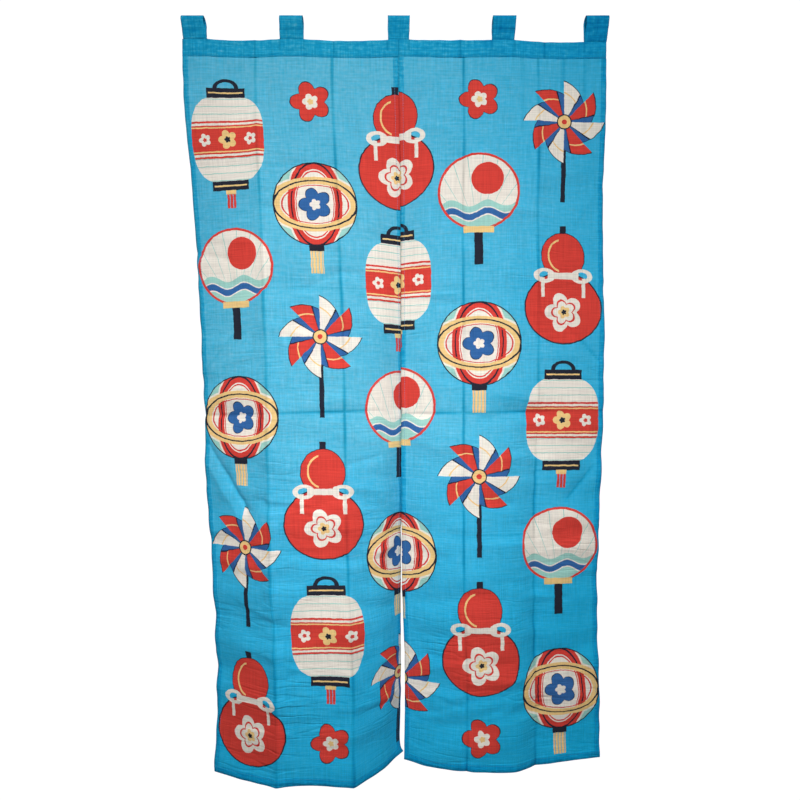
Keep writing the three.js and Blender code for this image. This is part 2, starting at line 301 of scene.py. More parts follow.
def pucker_relief(panel, across, below):
    """Small gathers along the hems, and the slight unevenness of soft cloth."""
    edge = np.minimum(across, panel.width - across)[None, :]
    foot = (panel.length - below)[:, None]
    near_side = np.exp(-edge / PUCKER_REACH)
    near_foot = np.exp(-foot / PUCKER_REACH)
    ease = np.empty((len(below), len(across)))
    side_gather = np.empty(len(below))
    foot_gather = np.empty(len(across))
    for j, down in enumerate(below):
        side_gather[j] = noise.noise((down / PUCKER_LENGTH, panel.side * 3.7, 0.4))
        for i, over in enumerate(across):
            ease[j, i] = noise.noise((over / EASE_LENGTH, down / EASE_DROP, panel.side * 5.1))
    for i, over in enumerate(across):
        foot_gather[i] = noise.noise((over / PUCKER_LENGTH, panel.side * 8.3, 1.9))
    gathers = near_side * side_gather[:, None] + near_foot * foot_gather[None, :]
    hung_free = np.clip((below - HEADING_HEIGHT) / FREE_DROP, 0, 1)
    slack = np.outer(hung_free * np.clip(below, *EASE_SHARE), 1 - np.exp(-across / SLIT_CALM))
    return PUCKER_HEIGHT * gathers * hung_free[:, None] + EASE_HEIGHT * ease * slack


COLUMN_STEP = 0.0046
ROW_STEP = 0.0046


def stations(start, end, start_hem, end_hem, step, fine):
    """Mesh lines between two hems, with each hem's stitch line and edge among them, and closer
    together in the fine spans."""
    low = start + start_hem + HEM_STEP if start_hem else start
    high = end - end_hem - HEM_STEP
    marks = [(low, step)]
    for span_start, span_end, span_step in fine:
        marks += [(span_start, span_step), (span_end, step)]
    finishes = [mark for mark, _ in marks[1:]] + [high]
    inner = []
    for (begin, wide), finish in zip(marks, finishes):
        count = math.ceil((finish - begin) / wide)
        inner.extend(np.linspace(begin, finish, count, endpoint=False))
    opening = [start, start + start_hem / 2, start + start_hem - STITCH_INSET, start + start_hem]
    closing = [end - end_hem, end - end_hem + STITCH_INSET, end - end_hem / 2, end]
    return np.array((opening if start_hem else []) + inner + [high] + closing)


HEM_LAYERS = 0.75
SCALLOP = 0.0010
SCALLOP_LENGTH = 0.034
SCALLOP_REACH = 0.02
SETTLE_DROP = 0.03
HEM_SLACK = 0.0001
Hung = namedtuple("Hung", "across below points forward layers pressed")


def hung_panel(panel):
    """The finished hang of a panel, with the creases and gathers laid on its folds, and its slit
    corner swung over."""
    across = stations(0, panel.width, SIDE_HEM, SIDE_HEM, COLUMN_STEP, panel.fine_columns)
    below = stations(HEADING_HEIGHT, panel.length, 0, BOTTOM_HEM, ROW_STEP, panel.fine_rows)
    points = hang(panel, across, below)
    over = np.gradient(points, axis=1) * panel.side
    down = np.gradient(points, axis=0)
    forward = np.cross(down, over)
    forward /= np.linalg.norm(forward, axis=2, keepdims=True)
    relief, pressed = crease_relief(panel.creases, across, below)
    wrinkles, _ = crease_relief(small_wrinkles(panel), across, below)
    settle = np.clip((below - HEADING_HEIGHT) / SETTLE_DROP, 0, 1)[:, None]
    relief = (relief + wrinkles) * settle + pucker_relief(panel, across, below)
    points = points + forward * relief[:, :, None]
    scallop = [noise.noise((fall / SCALLOP_LENGTH, panel.side * 2.9, 6.1)) for fall in below]
    near_outer = np.exp((across - panel.width) / SCALLOP_REACH)
    wavy = np.outer(np.array(scallop) * settle[:, 0], near_outer)
    points[:, :, 0] += SCALLOP * panel.side * wavy
    rising = np.exp((below - panel.length) / CORNER_RISE)
    points[:, :, 0] += panel.corner * np.outer(rising, np.exp(-across / CORNER_REACH))
    in_side_hem = np.minimum(across, panel.width - across) < SIDE_HEM + HEM_SLACK
    in_foot_hem = panel.length - below < BOTTOM_HEM + HEM_SLACK
    layers = HEM_LAYERS * np.logical_or(in_side_hem[None, :], in_foot_hem[:, None])
    return Hung(across, below, points, forward, layers, pressed)


def cloth_grid(name, points, flat, layers, pressed):
    """A smooth sheet through rows of points, the first row at the top and the first column at
    the left, with its flat place on the cloth as a UV map and its doubled strips as a group."""
    rows, columns = layers.shape
    bm = bmesh.new()
    bmesh.ops.create_grid(bm, x_segments=columns - 1, y_segments=rows - 1, size=0.5)
    order = []
    for vertex in bm.verts:
        column = round((vertex.co.x + 0.5) * (columns - 1))
        row = round((0.5 - vertex.co.y) * (rows - 1))
        order.append((row, column))
        vertex.co = Vector(points[row, column])
    mesh = bpy.data.meshes.new(name)
    bm.to_mesh(mesh)
    bm.free()
    mesh.polygons.foreach_set("use_smooth", [True] * len(mesh.polygons))
    row_of, column_of = np.array(order).T
    corner = np.empty(len(mesh.loops), dtype=np.int32)
    mesh.loops.foreach_get("vertex_index", corner)
    place = flat[row_of, column_of][corner]
    mesh.uv_layers.new(name="flat_cloth").data.foreach_set("uv", place.astype(np.float32).ravel())
    layer_of = layers[row_of, column_of]
    # The layer count and the painted crease shade go on the points for the materials to read.
    for value_name, values in (("layers", layer_of), ("pressed", pressed[row_of, column_of])):
        attribute = mesh.attributes.new(value_name, "FLOAT", "POINT")
        attribute.data.foreach_set("value", values.astype(np.float32))
    piece = bpy.data.objects.new(name, mesh)
    bpy.context.scene.collection.objects.link(piece)
    group = piece.vertex_groups.new(name="doubled")
    group.add([i for i, value in enumerate(layer_of) if value > 0.5], 1.0, "REPLACE")
    return piece


def thicken(piece, thickness, thinnest):
    """Gives a sheet its thickness, with the doubled strips at the full one."""
    solid = piece.modifiers.new("thickness", "SOLIDIFY")
    solid.thickness = thickness
    solid.offset = 0
    solid.vertex_group = "doubled"
    solid.thickness_vertex_group = thinnest / thickness
    return solid


class Measure:
    """A distance or a mask on the flat cloth, worked out by a material's math nodes."""

    def __init__(self, tree, socket):
        self.tree = tree
        self.socket = socket

    def worked(self, operation, *others):
        node = self.tree.nodes.new("ShaderNodeMath")
        node.operation = operation
        for slot, value in zip(node.inputs, (self, *others)):
            if isinstance(value, Measure):
                self.tree.links.new(value.socket, slot)
            else:
                slot.default_value = value
        return Measure(self.tree, node.outputs["Value"])

    def __add__(self, other):
        return self.worked("ADD", other)

    def __sub__(self, other):
        return self.worked("SUBTRACT", other)

    def __mul__(self, other):
        return self.worked("MULTIPLY", other)

    def under(self, limit):
        return self.worked("LESS_THAN", limit)

    def over(self, limit):
        return self.worked("GREATER_THAN", limit)

    def size(self):
        return self.worked("ABSOLUTE")


def oval(x, y, middle, half_width, half_height):
    """Distance from the middle of an oval, 1 on its edge."""
    right = (x - middle[0]) * (1 / half_width)
    up = (y - middle[1]) * (1 / half_height)
    return (right * right + up * up).worked("SQRT")


def block(x, y, middle, half_width, half_height):
    """Distance from the middle of a rectangle, 1 on its edge."""
    right = (x - middle[0]).size() * (1 / half_width)
    up = (y - middle[1]).size() * (1 / half_height)
    return right.worked("MAXIMUM", up)


def barrel(x, y, middle, half_width, half_height):
    """Distance from the middle of a swollen rectangle, 1 on its edge."""
    right = ((x - middle[0]).size() * (1 / half_width)).worked("POWER", 3)
    up = ((y - middle[1]).size() * (1 / half_height)).worked("POWER", 3)
    return right + up


def blossom_reach(x, y, middle, radius):
    """Distance from the middle of a flower with five round petals, 1 on its edge."""
    right = x - middle[0]
    up = y - middle[1]
    petal = (up.worked("ARCTAN2", right) * 2.5).worked("SINE").size()
    edge = petal.worked("MULTIPLY_ADD", 0.34 * radius, 0.66 * radius)
    return (right * right + up * up).worked("SQRT").worked("DIVIDE", edge)


def inked(ground, mask, colour):
    """The ground with a colour printed where the mask is 1."""
    mix = mask.tree.nodes.new("ShaderNodeMix")
    mix.data_type = "RGBA"
    mask.tree.links.new(mask.socket, mix.inputs[0])
    mask.tree.links.new(ground, mix.inputs[6])
    if isinstance(colour, tuple):
        mix.inputs[7].default_value = (*colour, 1)
    else:
        mask.tree.links.new(colour, mix.inputs[7])
    return mix.outputs[2]


CREAM = (0.82, 0.77, 0.69)
RED = (0.66, 0.055, 0.042)
INK = (0.020, 0.022, 0.036)
STRAW = (0.84, 0.58, 0.24)
INDIGO = (0.035, 0.13, 0.36)
CELADON = (0.33, 0.62, 0.56)


def outlined(ground, reach, colour, line):
    """The ground with a shape printed on it inside a thin dark line."""
    ground = inked(ground, reach.under(1 + line), INK)
    return inked(ground, reach.under(1), colour)


def lantern(x, y, ground):
    """A paper lantern with ribs, a red band, dark caps and a tassel."""
    middle = (0, 0.008)
    paper = barrel(x, y, middle, 0.069, 0.080).under(1)
    ground = inked(ground, paper, CREAM)
    ribs = (y * (1 / 0.0135)).worked("FRACT").under(0.1) * paper
    ground = inked(ground, ribs, CELADON)
    from_middle = (y - middle[1]).size()
    ground = inked(ground, from_middle.under(0.026) * paper, RED)
    ground = inked(ground, (from_middle - 0.032).size().under(0.0018) * paper, RED)
    ground = inked(ground, (from_middle - 0.022).size().under(0.0012) * paper, STRAW)
    for side in (-1, 0, 1):
        flower = blossom_reach(x, y, (0.044 * side, middle[1]), 0.018 - 0.006 * abs(side))
        ground = inked(ground, flower.under(1), STRAW if side == 0 else CREAM)
        ground = inked(ground, flower.under(0.34), INK if side == 0 else RED)
    caps = block(x, from_middle, (0, 0.085), 0.036, 0.009)
    ground = inked(ground, caps.under(1), INK)
    ground = inked(ground, (from_middle - 0.085).size().under(0.0014) * caps.under(0.9), STRAW)
    bail = (oval(x, y, (0, 0.102), 0.020, 0.014) - 1).size().under(0.2)
    ground = inked(ground, bail * y.over(0.1), INK)
    tassel = block(x, y, (0, -0.102), 0.009, 0.017).under(1)
    strands = (x * (1 / 0.006) + 0.5).worked("FRACT").over(0.2)
    ground = inked(ground, tassel * strands, RED)
    return inked(ground, block(x, y, (0, -0.089), 0.010, 0.004).under(1), STRAW)


def thread_ball(x, y, ground):
    """A ball wound with coloured thread, with a tassel."""
    middle = (0, 0.018)
    tassel = block(x, y, (0, -0.084), 0.012, 0.026).under(1)
    strands = (x * (1 / 0.006) + 0.5).worked("FRACT").over(0.2)
    ground = inked(ground, tassel * strands, STRAW)
    ground = inked(ground, block(x, y, (0, -0.064), 0.014, 0.005).under(1), INK)
    ball = oval(x, y, middle, 0.076, 0.076)
    ground = outlined(ground, ball, CREAM, 0.028)
    inside = ball.under(1)
    upright = oval(x, y, middle, 0.044, 0.077)
    level = oval(x, y, middle, 0.077, 0.044)
    corners = upright.worked("MINIMUM", level).over(1.22) * inside
    ground = inked(ground, corners, CELADON)
    for hoop, colour in ((upright, RED), (level, STRAW)):
        ground = inked(ground, (hoop - 1).size().under(0.15) * inside, colour)
        ground = inked(ground, (hoop - 1).size().under(0.026) * inside, INK)
        ground = inked(ground, (hoop - 0.8).size().under(0.018) * inside, RED)
    flower = blossom_reach(x, y, middle, 0.030)
    ground = outlined(ground, flower, INDIGO, 0.05)
    return inked(ground, flower.under(0.36), CREAM)


WAVE_FALLS = (0, 0.012, 0.0145, 0.026, 0.0285)


def round_fan(x, y, ground):
    """A round paper fan with a red sun over waves, on a dark handle."""
    ground = inked(ground, block(x, y, (0, -0.066), 0.008, 0.034).under(1), INK)
    leaf = oval(x, y, (0, 0.036), 0.076, 0.072)
    paper = leaf.under(1)
    ground = inked(ground, paper, CREAM)
    ribs = y.worked("SUBTRACT", -0.05).worked("ARCTAN2", x) * (1 / 0.19)
    ground = inked(ground, ribs.worked("FRACT").under(0.05) * paper, CELADON)
    sun = oval(x, y, (0.016, 0.060), 0.030, 0.030)
    ground = inked(ground, sun.under(1), RED)
    swell = (x * 95).worked("SINE").worked("MULTIPLY_ADD", 0.006, 0.014)
    for fall, colour in zip(WAVE_FALLS, (CELADON, CREAM, INDIGO, CREAM, CELADON)):
        ground = inked(ground, (y - swell).under(-fall) * paper, colour)
    ground = inked(ground, (leaf - 0.97).size().under(0.03), RED)
    return inked(ground, block(x, y, (0, -0.035), 0.028, 0.006).under(1), STRAW)


def gourd(x, y, ground):
    """A bottle gourd tied with a cord at its waist."""
    ground = inked(ground, block(x, y, (0, 0.094), 0.006, 0.011).under(1), INK)
    head = oval(x, y, (0, 0.048), 0.041, 0.043)
    belly = oval(x, y, (0, -0.048), 0.072, 0.065)
    waist = block(x, y, (0, 0.006), 0.022, 0.020)
    skin = head.worked("MINIMUM", belly).worked("MINIMUM", waist)
    ground = outlined(ground, skin, RED, 0.035)
    shine = oval(x, y, (0, 0.050), 0.028, 0.030)
    ground = inked(ground, (shine - 1).size().under(0.06) * x.under(-0.008), STRAW)
    ground = inked(ground, block(x, y, (0, 0.012), 0.030, 0.006).under(1), CREAM)
    bows = (oval(x.size(), y, (0.036, 0.012), 0.018, 0.012) - 0.88).size().under(0.27)
    ground = inked(ground, bows, CREAM)
    tails = block(x.size(), y, (0.040, -0.010), 0.0035, 0.018).under(1)
    ground = inked(ground, tails, CREAM)
    flower = blossom_reach(x, y, (0, -0.056), 0.037)
    ground = inked(ground, flower.under(1), CREAM)
    ground = inked(ground, (flower - 0.62).size().under(0.05), RED)
    ground = inked(ground, flower.under(0.32), STRAW)
    return inked(ground, flower.under(0.14), INK)


def pinwheel(x, y, ground):
    """A paper pinwheel of eight folded blades on a stick."""
    ground = inked(ground, block(x, y, (0, -0.060), 0.0045, 0.054).under(1), INK)
    up = y - 0.036
    turn = up.worked("ARCTAN2", x) * (8 / math.tau) + 8
    sweep = turn.worked("FRACT")
    edge = sweep.worked("MULTIPLY_ADD", 0.026, 0.050)
    blade = (x * x + up * up).worked("SQRT").worked("DIVIDE", edge)
    ground = outlined(ground, blade, CREAM, 0.025)
    inside = blade.under(1)
    every_other = (turn * 0.5).worked("FRACT").under(0.5)
    ground = inked(ground, every_other * inside, RED)
    ground = inked(ground, sweep.under(0.3) * inside, INDIGO)
    ground = inked(ground, (sweep - 0.3).size().under(0.03) * inside, INK)
    ground = inked(ground, (blade - 0.72).size().under(0.02) * sweep.over(0.33) * inside, STRAW)
    hub = oval(x, y, (0, 0.036), 0.012, 0.012)
    ground = outlined(ground, hub, STRAW, 0.2)
    return inked(ground, hub.under(0.4), RED)


MOTIFS = (lantern, round_fan, thread_ball, pinwheel, gourd)
MOTIF_WIDTH = 0.170
MOTIF_DROP = 0.285
MOTIF_SCALE = 1.08
FIRST_TOP = 0.0575
FULL_COLUMN = 5
FILLER_DROPS = (0.118, 1.408)
FILLER_RADIUS = 0.040
FILLER_HALF = 0.1
OUT_OF_SIGHT = 9.0


def printed_motifs(ground, right, drop):
    """A half-drop print: every other column of motifs hangs half a repeat lower, with single
    blossoms in the places left over."""
    column = (right * (1 / MOTIF_WIDTH)).worked("FLOOR")
    lowered = (column * 0.5).worked("FRACT").over(0.25)
    down = drop - FIRST_TOP - lowered * (MOTIF_DROP / 2)
    row = (down * (1 / MOTIF_DROP)).worked("FLOOR")
    x = right - column * MOTIF_WIDTH - MOTIF_WIDTH / 2
    y = (row * MOTIF_DROP - down) + MOTIF_DROP / 2
    last = lowered.worked("MULTIPLY_ADD", -1, FULL_COLUMN)
    whole = row.over(-0.5) * (row - last).under(-0.5)
    turn = (column * 2 + row).worked("FLOORED_MODULO", len(MOTIFS))
    for kind, motif in enumerate(MOTIFS):
        here = (turn - kind).size().under(0.5) * whole
        beside = x + here.worked("MULTIPLY_ADD", -OUT_OF_SIGHT, OUT_OF_SIGHT)
        ground = motif(beside * (1 / MOTIF_SCALE), y * (1 / MOTIF_SCALE), ground)
    to_upper = drop - FILLER_DROPS[0]
    to_lower = drop - FILLER_DROPS[1]
    by_upper = to_upper.size().under(FILLER_HALF)
    by_lower = to_lower.size().under(FILLER_HALF)
    to_filler = to_upper * by_upper + to_lower * by_lower
    away = (by_upper + by_lower) * lowered
    flower = blossom_reach(x, to_filler, (0, 0), FILLER_RADIUS)
    ground = inked(ground, flower.under(1.05) * away, INK)
    ground = inked(ground, flower.under(1) * away, RED)
    ground = inked(ground, flower.under(0.42) * away, CREAM)
    return inked(ground, flower.under(0.16) * away, STRAW)


DYE_PALE = (0.100, 0.462, 0.662)
DYE_IN_PAINTED_SHADE = (0.005, 0.428, 0.750)
LAYER_TINT = (0.15, 0.76, 0.89)
THREAD_PITCH = 0.0009
THREAD_STREAK = (620, 16)
SLUB_STREAK = (260, 24)
MOTTLE_GRAIN = (120, 160)
CLOUD_GRAIN = (7, 5)
UNEVEN_SINGLE = 0.6
UNEVEN_LAYERED = 1.6
SHADE_DROP = 0.78
SHADE_DOWN = 3.0
SHADE_MIDDLE = -0.16
SHADE_ACROSS = 3.1
SHADE_CLOUD = 0.6
SHADE_LINE_DENSITY = 0.8
SHADE_LINE_TONE = 0.2
THREAD_TONE = 0.54
CLOUD_TONE = 0.12
LAYER_TONE = 0.04
PRINT_GRAIN = (90, 90)
PRINT_WANDER = 0.003
LONG_WRINKLE = (5, 27)
SHORT_WRINKLE = (12, 60)
SHORT_SHARE = 0.3
WRINKLE_PATCH = (5, 8)
WRINKLE_EDGE = 0.04
WRINKLE_DEPTH = 0.018
WEAVE_DEPTH = 0.00015


def cloth_noise(tree, flat, scale, seed):
    """Unevenness of the cloth, stretched into streaks where the two scales differ."""
    mapping = tree.nodes.new("ShaderNodeMapping")
    mapping.inputs["Scale"].default_value = (*scale, 1)
    mapping.inputs["Location"].default_value = (seed, seed, 0)
    tree.links.new(flat, mapping.inputs["Vector"])
    texture = tree.nodes.new("ShaderNodeTexNoise")
    texture.inputs["Scale"].default_value = 1
    texture.inputs["Detail"].default_value = 2
    tree.links.new(mapping.outputs["Vector"], texture.inputs["Vector"])
    return Measure(tree, texture.outputs["Fac"]) - 0.5


def painted(tree, name):
    """A value painted on the mesh's points."""
    attribute = tree.nodes.new("ShaderNodeAttribute")
    attribute.attribute_name = name
    return Measure(tree, attribute.outputs["Fac"])


def streaks(tree, flat, scale, seed):
    """Uneven threads in both directions of the weave."""
    upright = cloth_noise(tree, flat, scale, seed)
    return upright * 0.8 + cloth_noise(tree, flat, scale[::-1], seed + 4.6)


def woven_cloth(name, print_share):
    """Dyed slubby plain weave, darker where it lies in layers, with painted shade deepening the dye
    towards the foot and the sides and along the crease lines, and the share of the print that
    shows on it: all on the face, some on the back, none on plain cloth."""
    material = bpy.data.materials.new(name)
    material.use_nodes = True
    tree = material.node_tree
    shader = tree.nodes["Principled BSDF"]
    shader.inputs["Roughness"].default_value = 0.95
    shader.inputs["Specular IOR Level"].default_value = 0.08
    place = tree.nodes.new("ShaderNodeUVMap")
    place.uv_map = "flat_cloth"
    flat = place.outputs["UV"]
    split = tree.nodes.new("ShaderNodeSeparateXYZ")
    tree.links.new(flat, split.inputs["Vector"])
    right = Measure(tree, split.outputs["X"])
    drop = Measure(tree, split.outputs["Y"]) * -1
    threads = streaks(tree, flat, THREAD_STREAK, 3.1)
    slubs = streaks(tree, flat, SLUB_STREAK, 2.6)
    mottle = cloth_noise(tree, flat, MOTTLE_GRAIN, 9.2)
    cloud = cloth_noise(tree, flat, CLOUD_GRAIN, 1.3)
    layers = painted(tree, "layers")
    pressed = painted(tree, "pressed")
    dye = tree.nodes.new("ShaderNodeRGB")
    dye.outputs[0].default_value = (*DYE_PALE, 1)
    # Painted shade: the dye deepens towards the foot and towards both sides, away from the
    # brightest place, standing in for the light falling off there, with a little random cloud in
    # it.
    off_middle = right - SHADE_MIDDLE
    downward = (drop - SHADE_DROP).worked("MAXIMUM", 0) * -SHADE_DOWN
    sideways = off_middle * off_middle * SHADE_ACROSS
    painted_falloff = downward - sideways + cloud * SHADE_CLOUD
    painted_shade_share = painted_falloff.worked("EXPONENT").worked("MULTIPLY_ADD", -1, 1)
    colour = inked(dye.outputs[0], painted_shade_share, DYE_IN_PAINTED_SHADE)
    uneven = (slubs + mottle) * (layers * UNEVEN_LAYERED + UNEVEN_SINGLE)
    # The painted crease shade deepens the dye too, as more cloth in layers does.
    density = layers + uneven + pressed * SHADE_LINE_DENSITY
    tint = tree.nodes.new("ShaderNodeCombineXYZ")
    for socket, share in zip(tint.inputs, LAYER_TINT):
        through = (density * math.log(share)).worked("EXPONENT")
        tree.links.new(through.socket, socket)
    ground = tree.nodes.new("ShaderNodeVectorMath")
    ground.operation = "MULTIPLY"
    tree.links.new(colour, ground.inputs[0])
    tree.links.new(tint.outputs["Vector"], ground.inputs[1])
    colour = ground.outputs["Vector"]
    if print_share:
        wander = cloth_noise(tree, flat, PRINT_GRAIN, 5.5) * PRINT_WANDER
        printed = printed_motifs(colour, right + wander + BODY_HALF, drop + wander)
        shown = tree.nodes.new("ShaderNodeMix")
        shown.data_type = "RGBA"
        shown.inputs[0].default_value = print_share
        tree.links.new(colour, shown.inputs[6])
        tree.links.new(printed, shown.inputs[7])
        colour = shown.outputs[2]
    # Painted crease shade and the layered strips darken the tone.
    shade_and_layers = pressed * SHADE_LINE_TONE + layers * LAYER_TONE
    tone = threads * THREAD_TONE + cloud * CLOUD_TONE - shade_and_layers + 1
    toned = tree.nodes.new("ShaderNodeVectorMath")
    toned.operation = "SCALE"
    tree.links.new(colour, toned.inputs[0])
    tree.links.new(tone.socket, toned.inputs["Scale"])
    tree.links.new(toned.outputs["Vector"], shader.inputs["Base Color"])
    over = (right * (math.tau / THREAD_PITCH)).worked("SINE")
    under = (drop * (math.tau / THREAD_PITCH)).worked("SINE")
    weave = over * under * 0.35 + threads * 1.6
    crumple = drop * 1.05 + 0.15
    patches = (cloth_noise(tree, flat, WRINKLE_PATCH, 6.9) * 4 + 0.5).worked("MAXIMUM", 0)
    long = cloth_noise(tree, flat, LONG_WRINKLE, 4.4).size().worked("MINIMUM", WRINKLE_EDGE)
    short = cloth_noise(tree, flat, SHORT_WRINKLE, 8.8).size().worked("MINIMUM", WRINKLE_EDGE)
    wrinkles = (long + short * SHORT_SHARE) * patches * crumple
    normal = None
    for height, depth in ((wrinkles, WRINKLE_DEPTH), (weave, WEAVE_DEPTH)):
        bump = tree.nodes.new("ShaderNodeBump")
        bump.inputs["Distance"].default_value = depth
        tree.links.new(height.socket, bump.inputs["Height"])
        if normal:
            tree.links.new(normal, bump.inputs["Normal"])
        normal = bump.outputs["Normal"]
    tree.links.new(normal, shader.inputs["Normal"])
    return material


PRINT_ON_BACK = 0.4
printed_face = woven_cloth("printed_cloth_face", 1.0)
printed_back = woven_cloth("printed_cloth_back", PRINT_ON_BACK)

# Rows of short machine stitches in blue thread hold the hems, with the same row on the back.
THREAD_RADIUS = 0.00028
STITCH_SHARE = 0.72


def sew(bm, line, forward, half_thickness):
    """One stitch between each two points of a line, on the face and on the back."""
    for start, end, out in zip(line, line[1:], forward):
        run = Vector(end) - Vector(start)
        turn = run.to_track_quat("Z", "Y").to_matrix().to_4x4()
        for side in (-1, 1):
            place = (Vector(start) + Vector(end)) / 2 + Vector(out) * side * half_thickness
            bmesh.ops.create_cone(
                bm, cap_ends=True, segments=5, radius1=THREAD_RADIUS, radius2=THREAD_RADIUS,
                depth=run.length * STITCH_SHARE, matrix=Matrix.Translation(place) @ turn,
            )


def sewn_piece(name, bm):
    """A row of stitches as a piece of the curtain."""
    mesh = bpy.data.meshes.new(name)
    bm.to_mesh(mesh)
    bm.free()
    piece = bpy.data.objects.new(name, mesh)
    bpy.context.scene.collection.objects.link(piece)
    piece.data.materials.append(blue_thread)
    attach(piece, "root")
    return piece


blue_thread = bpy.data.materials.new("blue_thread")
blue_thread.use_nodes = True
thread_nodes = blue_thread.node_tree
thread_shader = thread_nodes.nodes["Principled BSDF"]
thread_shader.inputs["Roughness"].default_value = 0.7
thread_place = thread_nodes.nodes.new("ShaderNodeTexCoord")
ply = thread_nodes.nodes.new("ShaderNodeTexWave")
ply.bands_direction = "DIAGONAL"
ply.inputs["Scale"].default_value = 900
thread_nodes.links.new(thread_place.outputs["Object"], ply.inputs["Vector"])
ply_tone = thread_nodes.nodes.new("ShaderNodeMix")
ply_tone.data_type = "RGBA"
ply_tone.inputs[6].default_value = (0.012, 0.20, 0.40, 1)
ply_tone.inputs[7].default_value = (0.030, 0.30, 0.52, 1)
thread_nodes.links.new(ply.outputs["Fac"], ply_tone.inputs[0])
thread_nodes.links.new(ply_tone.outputs[2], thread_shader.inputs["Base Color"])

for panel in PANELS:
    laid = hung_panel(panel)
    flat = np.empty((len(laid.below), len(laid.across), 2))
    flat[:, :, 0] = SEAM_X + panel.side * laid.across[None, :]
    flat[:, :, 1] = panel.print_slip - laid.below[:, None]
    turned = slice(None, None, panel.side)
    cloth = cloth_grid(
        panel.name + "_cloth", laid.points[:, turned], flat[:, turned],
        laid.layers[:, turned], laid.pressed[:, turned],
    )
    solid = thicken(cloth, HEM_THICKNESS, CLOTH_THICKNESS)
    solid.material_offset = 1
    cloth.data.materials.append(printed_face)
    cloth.data.materials.append(printed_back)
    bm = bmesh.new()
    for column in (2, len(laid.across) - 3):
        sew(bm, laid.points[:, column], laid.forward[:, column], HEM_THICKNESS / 2)
    foot_row = len(laid.below) - 3
    sew(bm, laid.points[foot_row], laid.forward[foot_row], HEM_THICKNESS / 2)
    stitching = sewn_piece(panel.name + "_stitching", bm)
    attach(cloth, "root")
    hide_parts(panel.name)

# The heading: the top of the cloth turned over to the back and stitched down through all its
# layers, across both panels. The ends of the tabs lie inside it and show as raised squares.
HEADING_THICKNESS = 0.0024
TAB_END_RAISE = 0.0007
TAB_END_DEPTH = 0.021
SEAM_GROOVE = 0.0009
HEADING_STITCH = 0.0316
PRESS_LINES = (-0.2795, -0.1219, 0.1315, 0.3007)
PRESS_DEPTH = 0.0012
TUCK_HEIGHT = 0.0009
TUCK_LENGTH = 0.020
TUCK_DROP = 0.03
STITCH_PULL = 0.0007
STITCH_REACH = 0.0016
STITCH_SHADE = 0.5
SEAM_HALF = 0.0012
SEAM_LINE = 0.0014
GROOVE_HALF = 0.001
TAB_EDGE_HALF = 0.0008
TAB_END_EDGE = 0.0004
TAB_END_LINE = 0.0012
TAB_END_SHADE = 0.7
PRESS_HALF = 0.002
PRESS_REACH = 0.006
PRESS_SHADE = 0.8
HEADING_COLUMNS = 241
COLUMN_CLEAR = 0.0009
END_CLEAR = 0.0005

doubled_cloth = woven_cloth("doubled_cloth", 0)
heading_marks = [SEAM_X - SEAM_HALF, SEAM_X, SEAM_X + SEAM_HALF]
for tab in TABS:
    for edge in tab.foot:
        heading_marks += [edge - TAB_EDGE_HALF, edge + TAB_EDGE_HALF]
for line in PRESS_LINES:
    heading_marks += [line - PRESS_HALF, line, line + PRESS_HALF]
spread = np.linspace(-BODY_HALF, BODY_HALF, HEADING_COLUMNS)
spread = [x for x in spread if min(abs(x - mark) for mark in heading_marks) > COLUMN_CLEAR]
inside = [x for x in heading_marks if abs(x) < BODY_HALF - END_CLEAR]
heading_x = np.array(sorted(spread + inside))
heading_below = np.concatenate([
    [0, 0.0008],
    np.linspace(0.003, TAB_END_DEPTH - 0.001, 6),
    np.linspace(TAB_END_DEPTH + 0.001, 0.030, 5),
    [HEADING_STITCH, HEADING_HEIGHT - 0.0010, HEADING_HEIGHT],
])
heading_points = np.empty((len(heading_below), len(heading_x), 3))
heading_shade = np.zeros((len(heading_below), len(heading_x)))
for j, down in enumerate(heading_below):
    raised = np.zeros_like(heading_x)
    # Painted shade: dark lines in the seam groove, along the raised edges of the tab ends, on the
    # press lines and where the stitching pulls the cloth in.
    lines = np.exp(-(((heading_x - SEAM_X) / SEAM_LINE) ** 2))
    for tab in TABS:
        middle = sum(tab.foot) / 2
        half = (tab.foot[1] - tab.foot[0]) / 2
        past = np.abs(heading_x - middle) - half
        raised += TAB_END_RAISE / (1 + np.exp(past / TAB_END_EDGE)) * (down < TAB_END_DEPTH)
        lines += TAB_END_SHADE * np.exp(-((past / TAB_END_LINE) ** 2)) * (down < TAB_END_DEPTH)
    for number, line in enumerate(PRESS_LINES):
        off_line = np.abs(heading_x - line)
        raised += (-1) ** number * PRESS_DEPTH * np.exp(-off_line / PRESS_REACH)
        lines += PRESS_SHADE * np.exp(-((off_line / PRESS_HALF) ** 2))
    tucks = np.array([noise.noise((x / TUCK_LENGTH, down / TUCK_DROP, 4.2)) for x in heading_x])
    pulled = math.exp(-(((down - HEADING_STITCH) / STITCH_REACH) ** 2))
    groove = SEAM_GROOVE * np.exp(-(((heading_x - SEAM_X) / GROOVE_HALF) ** 2))
    heading_points[j, :, 0] = heading_x
    heading_points[j, :, 1] = groove + STITCH_PULL * pulled - raised - TUCK_HEIGHT * tucks
    heading_points[j, :, 2] = HEADING_TOP - down - droop(heading_x) * math.exp(-down / DROOP_FADE)
    heading_shade[j] = np.clip(lines + STITCH_SHADE * pulled, 0, 1)
heading_flat = np.stack(np.meshgrid(heading_x, -heading_below), axis=2)
heading_layers = np.ones((len(heading_below), len(heading_x)))
heading = cloth_grid("heading_band", heading_points, heading_flat, heading_layers, heading_shade)
thicken(heading, HEADING_THICKNESS, HEADING_THICKNESS)
heading.data.materials.append(doubled_cloth)

